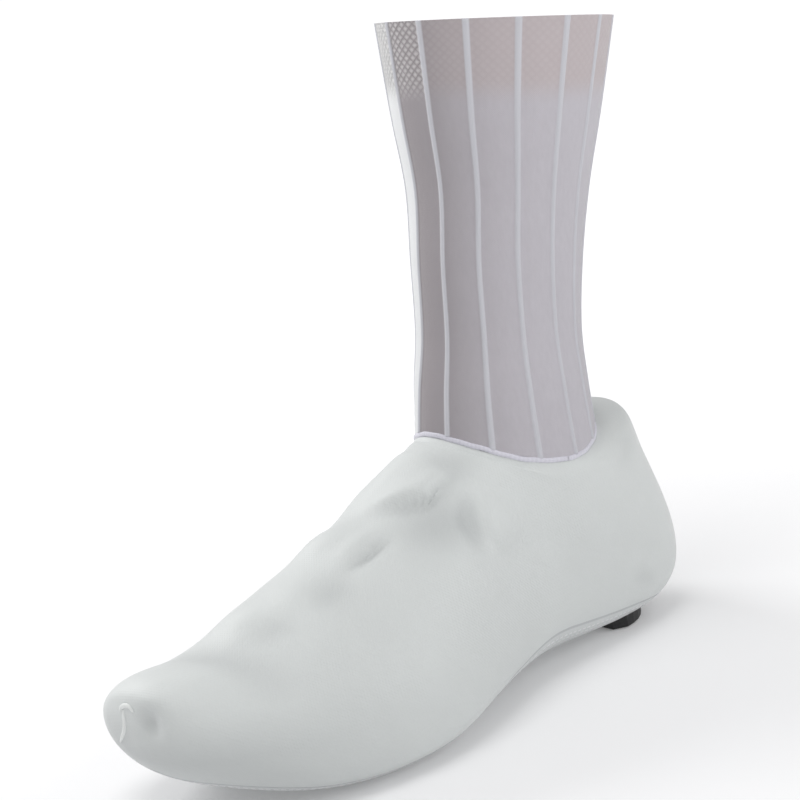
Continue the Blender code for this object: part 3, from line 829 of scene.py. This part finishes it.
def cuff_knit(name, tint):
    """Sheer ribbed knit: u of its map runs round the cuff, v up it; tint scales its colours."""
    mat, tree, shader, place = principled(name, KNIT_FINISH)
    node = tree.nodes.new("ShaderNodeUVMap")
    node.uv_map = CUFF_MAP
    split = tree.nodes.new("ShaderNodeSeparateXYZ")
    tree.links.new(node.outputs[0], split.inputs[0])
    round_mm = sum_of(tree, "MULTIPLY", split.outputs[0], MOUTH_GIRTH * MILLIMETRES)
    up_mm = sum_of(tree, "MULTIPLY", split.outputs[1], SHAFT_RISE * MILLIMETRES)
    rib, pale = attribute(tree, "rib"), attribute(tree, "pale")

    def wave(socket, period):
        return sum_of(tree, "SINE", sum_of(tree, "MULTIPLY", socket, 2 * pi / period))

    loops = sum_of(tree, "MULTIPLY", wave(round_mm, WALE_MM), wave(up_mm, COURSE_MM))
    steps = [sum_of(tree, "MULTIPLY", way, 1 / size) for way, size in zip((round_mm, up_mm), LOZENGE_MM)]
    lozenge = sum_of(tree, "MULTIPLY", wave(sum_of(tree, "ADD", *steps), 2.0),
                     wave(sum_of(tree, "SUBTRACT", *steps), 2.0))
    lozenge = sum_of(tree, "POWER", sum_of(tree, "ABSOLUTE", lozenge), LOZENGE_POWER)
    grip = band(tree, split.outputs[1], GRIP_START, GRIP_END, GRIP_FADE)
    grip = sum_of(tree, "MULTIPLY", grip, sum_of(tree, "SUBTRACT", 1.0, rib))
    strong = sum_of(tree, "MULTIPLY_ADD", attribute(tree, "raised"), 1 - LOZENGE_FAINT, LOZENGE_FAINT)
    lozenge = sum_of(tree, "MULTIPLY", sum_of(tree, "MULTIPLY", lozenge, grip), strong)

    fleck = noise(tree, place, KNIT_FLECK)
    panel = blend_colour(tree, fleck, *(scaled(tone, tint) for tone in MAUVE_TONES))
    grip_share = sum_of(tree, "MULTIPLY", grip, GRIP_SHARE)
    panel = blend_colour(tree, grip_share, panel, scaled(GRIP_COLOUR, tint))
    # painted shade on the mauve beside the pale panels
    panel = blend_colour(tree, attribute(tree, "pale_side_shade"), panel, scaled(PALE_SIDE_SHADE_MAUVE, tint))
    speckled = blend_colour(tree, grip, scaled(PALE_PANEL, tint), scaled(PALE_GRIP, tint))
    panel = blend_colour(tree, pale, panel, speckled)
    lozenge_share = sum_of(tree, "MULTIPLY", lozenge, LOZENGE_SHARE)
    panel = blend_colour(tree, lozenge_share, panel, scaled(LOZENGE_COLOUR, tint))
    colour = blend_colour(tree, rib, panel, scaled(RIB_COLOUR, tint))
    tree.links.new(colour, shader.inputs["Base Color"])
    bump(tree, shader, [(lozenge, LOZENGE_DEPTH), (loops, LOOP_DEPTH), (fleck, KNIT_FLECK.depth)]
         + relief(tree, place, KNIT_SWELL))
    return mat


def scaled(colour, tint):
    """A colour made darker or lighter."""
    return tuple(part * tint for part in colour)


def tape(name):
    """Soft pale tape with a fine cross grain."""
    mat, tree, shader, place = principled(name, TAPE_FINISH)
    pitch, depth = TAPE_GRAIN
    grain = sum_of(tree, "SINE", sum_of(tree, "MULTIPLY", attribute(tree, "tape_run"), 2 * pi / pitch))
    colour = blend_colour(tree, sum_of(tree, "MULTIPLY_ADD", grain, TAPE_CONTRAST, 1 / 2), *TAPE_TONES)
    tree.links.new(colour, shader.inputs["Base Color"])
    bump(tree, shader, [(grain, depth)] + relief(tree, place, TAPE_FUZZ))
    return mat


def black_rubber():
    """Matt black rubber with a fine moulded grain and paler scuffs."""
    mat, tree, shader, place = principled("black_rubber", RUBBER_FINISH)
    worn = band(tree, noise(tree, place, RUBBER_SCUFFS), SCUFF_START, SCUFF_END, SCUFF_FADE)
    tree.links.new(blend_colour(tree, worn, *RUBBER_TONES), shader.inputs["Base Color"])
    rough = sum_of(tree, "MULTIPLY_ADD", worn, SCUFF_ROUGH, RUBBER_ROUGH)
    tree.links.new(rough, shader.inputs["Roughness"])
    bump(tree, shader, relief(tree, place, RUBBER_GRAIN))
    return mat


def plain_floor():
    """Pale studio floor."""
    mat, tree, shader, place = principled("studio_floor", FLOOR_FINISH)
    shader.inputs["Base Color"].default_value = (*FLOOR_COLOUR, 1)
    shader.inputs["Emission Color"].default_value = (1.0, 1.0, 1.0, 1)
    away = tree.nodes.new("ShaderNodeVectorMath")
    away.operation = "LENGTH"
    tree.links.new(place, away.inputs[0])
    share = sum_of(tree, "MINIMUM", sum_of(tree, "DIVIDE", away.outputs["Value"], FAR), 1.0)
    glow = sum_of(tree, "MULTIPLY_ADD", share, FAR_GLOW - NEAR_GLOW, NEAR_GLOW)
    tree.links.new(glow, shader.inputs["Emission Strength"])
    return mat


# Pieces

def placed(points, shift):
    """Points from the toe tip and middle line, in the part's frame."""
    return points + shift


def ride(piece, node):
    """A piece that stands for its node: hung on the root, with the node hidden."""
    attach(piece, "root")
    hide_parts(node)
    return piece


def make_cover(shift, grid):
    """Upper and sole: shells of one creased surface, parted along the sole's outline."""
    lining = lining_fabric()
    upper_fabric = cover_fabric("white_stretch_fabric", COVER_TONES, [])
    sole_fabric = cover_fabric("white_sole_fabric", SOLE_TONES, [("hem", HEM_ROWS)])
    normals = grid_normals(grid, 1)
    inward = grid_normals(grid, INNER_PASSES)
    creased = grid + normals * fold_height(grid)[..., None]
    outer = creased.copy()
    outer[..., 2] = np.maximum(outer[..., 2], FLOOR)
    outline = sole_outline(0.0)
    steps = {
        "upper": (UPPER_WALL, [("DIFFERENCE", "sole_room", sole_outline(GAP))], upper_fabric),
        "sole": (SOLE_WALL, [("INTERSECT", "sole_shape", outline),
                             ("DIFFERENCE", "cleat_opening", cleat_outline()),
                             ("DIFFERENCE", "pad_opening", pad_outline(GAP))], sole_fabric),
    }
    for name, (thickness, cuts, fabric) in steps.items():
        inner = creased - inward * thickness
        inner[..., 2] = np.maximum(inner[..., 2], FLOOR + thickness)
        mesh = carve(shell_mesh(name, outer, inner), cuts)
        mesh.name = name + "_fabric"
        mesh.transform(Matrix.Translation(Vector(shift)))
        if name == "sole":
            outline_field(mesh, "hem", [outline, cleat_outline(), pad_outline(GAP)], shift)
        paint_shade_in_troughs(mesh, shift)
        piece = finish_mesh(name + "_fabric", mesh, [fabric, lining], SHARP_COVER)
        ride(piece, name)


def paint_shade_in_troughs(mesh, shift):
    """Writes where shade is painted on the fabric: in its troughs and under the toe."""
    co = np.zeros(len(mesh.vertices) * 3)
    mesh.vertices.foreach_get("co", co)
    raw = co.reshape(-1, 3) - shift
    trough = np.clip(-fold_height(raw) / CREASE_SHADE, 0, 1)
    top, fade, reach = TOE_SHADE
    low = np.clip((top - raw[:, 2]) / fade, 0, 1) * np.clip(1 - raw[:, 1] / reach, 0, 1)
    layer = mesh.attributes.new("shade", "FLOAT", "POINT")
    layer.data.foreach_set("value", np.maximum(trough, low))


def make_cuff(shift):
    """The ribbed sheer cuff with its grip band."""
    pitch = 2 * pi / RIB_COUNT
    half = pi * RIB_WIDTH / MOUTH_GIRTH
    across = CUFF_SIDES // 2
    offsets = np.concatenate([np.linspace(-half, half, across + 1),
                              np.linspace(half, pitch - half, across + 1)[1:-1]])
    profile = np.clip(RIB_SHOULDER * (1 - np.abs(offsets / half)), 0, 1)
    profile = profile * profile * (3 - 2 * profile)
    place, spread, depth = RIB_GROOVE
    groove = np.exp(-((np.abs(offsets) - place * half) / (spread * half)) ** 2)
    raised = RIB_RISE * profile - depth * RIB_RISE * groove
    angles = (RIB_START + np.arange(RIB_COUNT)[:, None] * pitch + offsets).ravel()
    tinted = np.clip(RIB_TINT * (1 - np.abs(offsets / half)), 0, 1)
    raised, rib = np.tile(raised, RIB_COUNT), np.tile(tinted, RIB_COUNT)
    outer, inner, heights = [], [], np.linspace(0, 1, CUFF_RINGS)
    for share in heights:
        swept = angles - RIB_SWEEP * np.cos(angles) * (1 - share) ** RIB_EASE
        foot = collar_line(swept) + SEAM_WIDTH / 2 - MEET
        up = foot + (SHAFT_RISE - foot) * share
        outer.append(leg_to_foot(shaft_point(up, swept, raised)))
        inner.append(leg_to_foot(shaft_point(up, swept, -SHAFT_WALL)))
    mesh = shell_mesh("shaft_knit", placed(np.array(outer), shift), placed(np.array(inner), shift))
    count = len(angles)
    turn = (angles - RIB_START) / (2 * pi)
    index = np.zeros(len(mesh.loops), np.int32)
    mesh.loops.foreach_get("vertex_index", index)
    u = turn[index % count]
    per_face = u.reshape(-1, 4)
    wraps = np.ptp(per_face, axis=1) > 0.5
    per_face[wraps] = np.where(per_face[wraps] < 0.5, per_face[wraps] + 1, per_face[wraps])
    v = heights[(index // count) % CUFF_RINGS]
    layer = mesh.uv_layers.new(name=CUFF_MAP)
    layer.data.foreach_set("uv", np.stack([per_face.ravel(), v], -1).ravel())
    beside = np.abs((np.degrees(angles) - PALE_MIDDLE + 180) % 360 - 180) - PALE_SPREAD
    # painted shade on the mauve beside the pale front panels
    pale_side_shade = PALE_SIDE_SHADE_SHARE * np.exp(-(beside / PALE_SIDE_SHADE_SPREAD) ** 2)
    for name, values in (("rib", rib), ("pale", (beside < 0).astype(float)), ("pale_side_shade", pale_side_shade),
                         ("raised", (beside < PALE_SPREAD).astype(float))):
        data = mesh.attributes.new(name, "FLOAT", "POINT").data
        data.foreach_set("value", np.tile(values, 2 * CUFF_RINGS))
    fabrics = [cuff_knit("sheer_ribbed_knit", 1.0), cuff_knit("knit_inside", INSIDE_TINT)]
    piece = finish_mesh("shaft_knit", mesh, fabrics, SHARP_KNIT)
    ride(piece, "shaft")


def make_collar_tape(shift):
    """The raised seam tape round the ankle, rounded across and slightly uneven."""
    angles = np.linspace(0, 2 * pi, SEAM_SIDES + 1)[:-1]
    middle = collar_line(angles) + sum(height * np.sin(angles * count) for height, count in TAPE_WAVES)
    outer, inner = [], []
    for side in np.linspace(-1, 1, TAPE_ROWS):
        swell = SEAM_RISE * TAPE_SWELL * (1 - side ** 4) - TAPE_SINK
        edge = middle + side * SEAM_WIDTH / 2
        outer.append(leg_to_foot(shaft_point(edge, angles, np.full(SEAM_SIDES, swell))))
        inner.append(leg_to_foot(shaft_point(edge, angles, -SHAFT_WALL)))
    mesh = shell_mesh("collar_tape", placed(np.array(outer), shift), placed(np.array(inner), shift))
    girth = pi * (ANKLE_DEPTH + ANKLE_WIDTH) / 2
    layer = mesh.attributes.new("tape_run", "FLOAT", "POINT")
    layer.data.foreach_set("value", np.tile(angles / (2 * pi) * girth, 2 * len(outer)))
    piece = finish_mesh("collar_tape", mesh, [tape("pale_seam_tape")] * 2, SHARP_COVER)
    ride(piece, "collar_seam")


def make_curl(shift, grid):
    """Spare fabric that curls up at the toe tip, where the cover's seam ends."""
    verts = placed(grid, shift).reshape(-1, 3)
    count = grid.shape[1]
    last = 4 * ROW_STEPS
    quads = [(i * count + j, i * count + (j + 1) % count, (i + 1) * count + (j + 1) % count,
              (i + 1) * count + j) for i in range(last) for j in range(count)]
    nose = BVHTree.FromPolygons([Vector(v) for v in verts[:(last + 1) * count]], quads)
    fabric = cover_fabric("toe_seam_fabric", CURL_TONES, [])
    for name, points in CURLS.items():
        path = smooth(points, CURL_STEPS)
        curve = bpy.data.curves.new(name, "CURVE")
        curve.dimensions = "3D"
        curve.bevel_depth = CURL_WIDTH
        curve.bevel_resolution = 4
        curve.use_fill_caps = True
        spline = curve.splines.new("POLY")
        spline.points.add(len(path) - 1)
        for k, (x, z) in enumerate(path):
            start = Vector((x + shift[0], shift[1] - CURL_REACH, z))
            hit = nose.ray_cast(start, Vector((0, 1, 0)))[0] or start
            spline.points[k].co = (hit.x, max(hit.y, CAD_BOX[0].y) + CURL_WIDTH * CURL_SINK, hit.z, 1)
            full = sin(pi * (k + 1 / 2) / len(path)) ** CURL_TAPER
            spline.points[k].radius = CURL_THIN + (1 - CURL_THIN) * full
        curve.materials.append(fabric)
        piece = bpy.data.objects.new(name, curve)
        bpy.context.scene.collection.objects.link(piece)
        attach(piece, "root")


# Studio

def make_camera():
    """The photograph's camera."""
    back = Vector((sin(CAMERA_AZIMUTH) * cos(CAMERA_ELEVATION), -cos(CAMERA_AZIMUTH) * cos(CAMERA_ELEVATION),
                   sin(CAMERA_ELEVATION)))
    right = Vector((cos(CAMERA_AZIMUTH), sin(CAMERA_AZIMUTH), 0))
    up = back.cross(right)
    rolled_right = right * cos(CAMERA_ROLL) + up * sin(CAMERA_ROLL)
    rolled_up = up * cos(CAMERA_ROLL) - right * sin(CAMERA_ROLL)
    data = bpy.data.cameras.new("camera")
    data.lens = CAMERA_LENS
    data.sensor_width = SENSOR
    data.clip_start, data.clip_end = CLIP
    camera = bpy.data.objects.new("camera", data)
    camera.matrix_world = Matrix.Translation(CAMERA_PLACE) @ Matrix(
        (rolled_right, rolled_up, back)).transposed().to_4x4()
    bpy.context.scene.collection.objects.link(camera)
    bpy.context.scene.camera = camera


def make_light(name, azimuth, elevation, distance, size, power):
    """A soft square light that looks at the middle of the part. Azimuth is as a camera's."""
    a, e = radians(azimuth), radians(elevation)
    back = Vector((sin(a) * cos(e), -cos(a) * cos(e), sin(e)))
    data = bpy.data.lights.new(name, "AREA")
    data.size = size
    data.energy = power
    light = bpy.data.objects.new(name, data)
    light.location = Vector((0, 0, AIM_HEIGHT)) + back * distance
    light.rotation_mode = "QUATERNION"
    light.rotation_quaternion = back.to_track_quat("Z", "Y")
    bpy.context.scene.collection.objects.link(light)


def make_studio():
    """Pale floor, white surroundings and three soft lights."""
    bm = bmesh.new()
    bmesh.ops.create_grid(bm, x_segments=1, y_segments=1, size=FLOOR_HALF)
    mesh = bpy.data.meshes.new("floor")
    bm.to_mesh(mesh)
    bm.free()
    floor = finish_mesh("floor", mesh, [plain_floor()], SHARP_COVER)
    floor.location.z = -FLOOR_DROP
    world = bpy.data.worlds.new("studio")
    world.use_nodes = True
    world.node_tree.nodes["Background"].inputs["Color"].default_value = (1.0, 1.0, 1.0, 1)
    world.node_tree.nodes["Background"].inputs["Strength"].default_value = WORLD_STRENGTH
    bpy.context.scene.world = world
    bpy.context.scene.view_settings.view_transform = "Standard"
    for light in LIGHTS:
        make_light(*light)


def main():
    """Builds every piece round the frame."""
    grid = soften(cover_grid(), SOFT_PASSES)
    low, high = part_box("upper")
    shift = np.array([(low.x + high.x) / 2 - (grid[..., 0].min() + grid[..., 0].max()) / 2,
                      low.y - grid[..., 1].min(), 0.0])
    make_cover(shift, grid)
    make_cuff(shift)
    make_collar_tape(shift)
    make_curl(shift, grid)
    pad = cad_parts["heel_pad"]
    pad.data.materials.clear()
    pad.data.materials.append(black_rubber())
    make_camera()
    make_studio()


main()
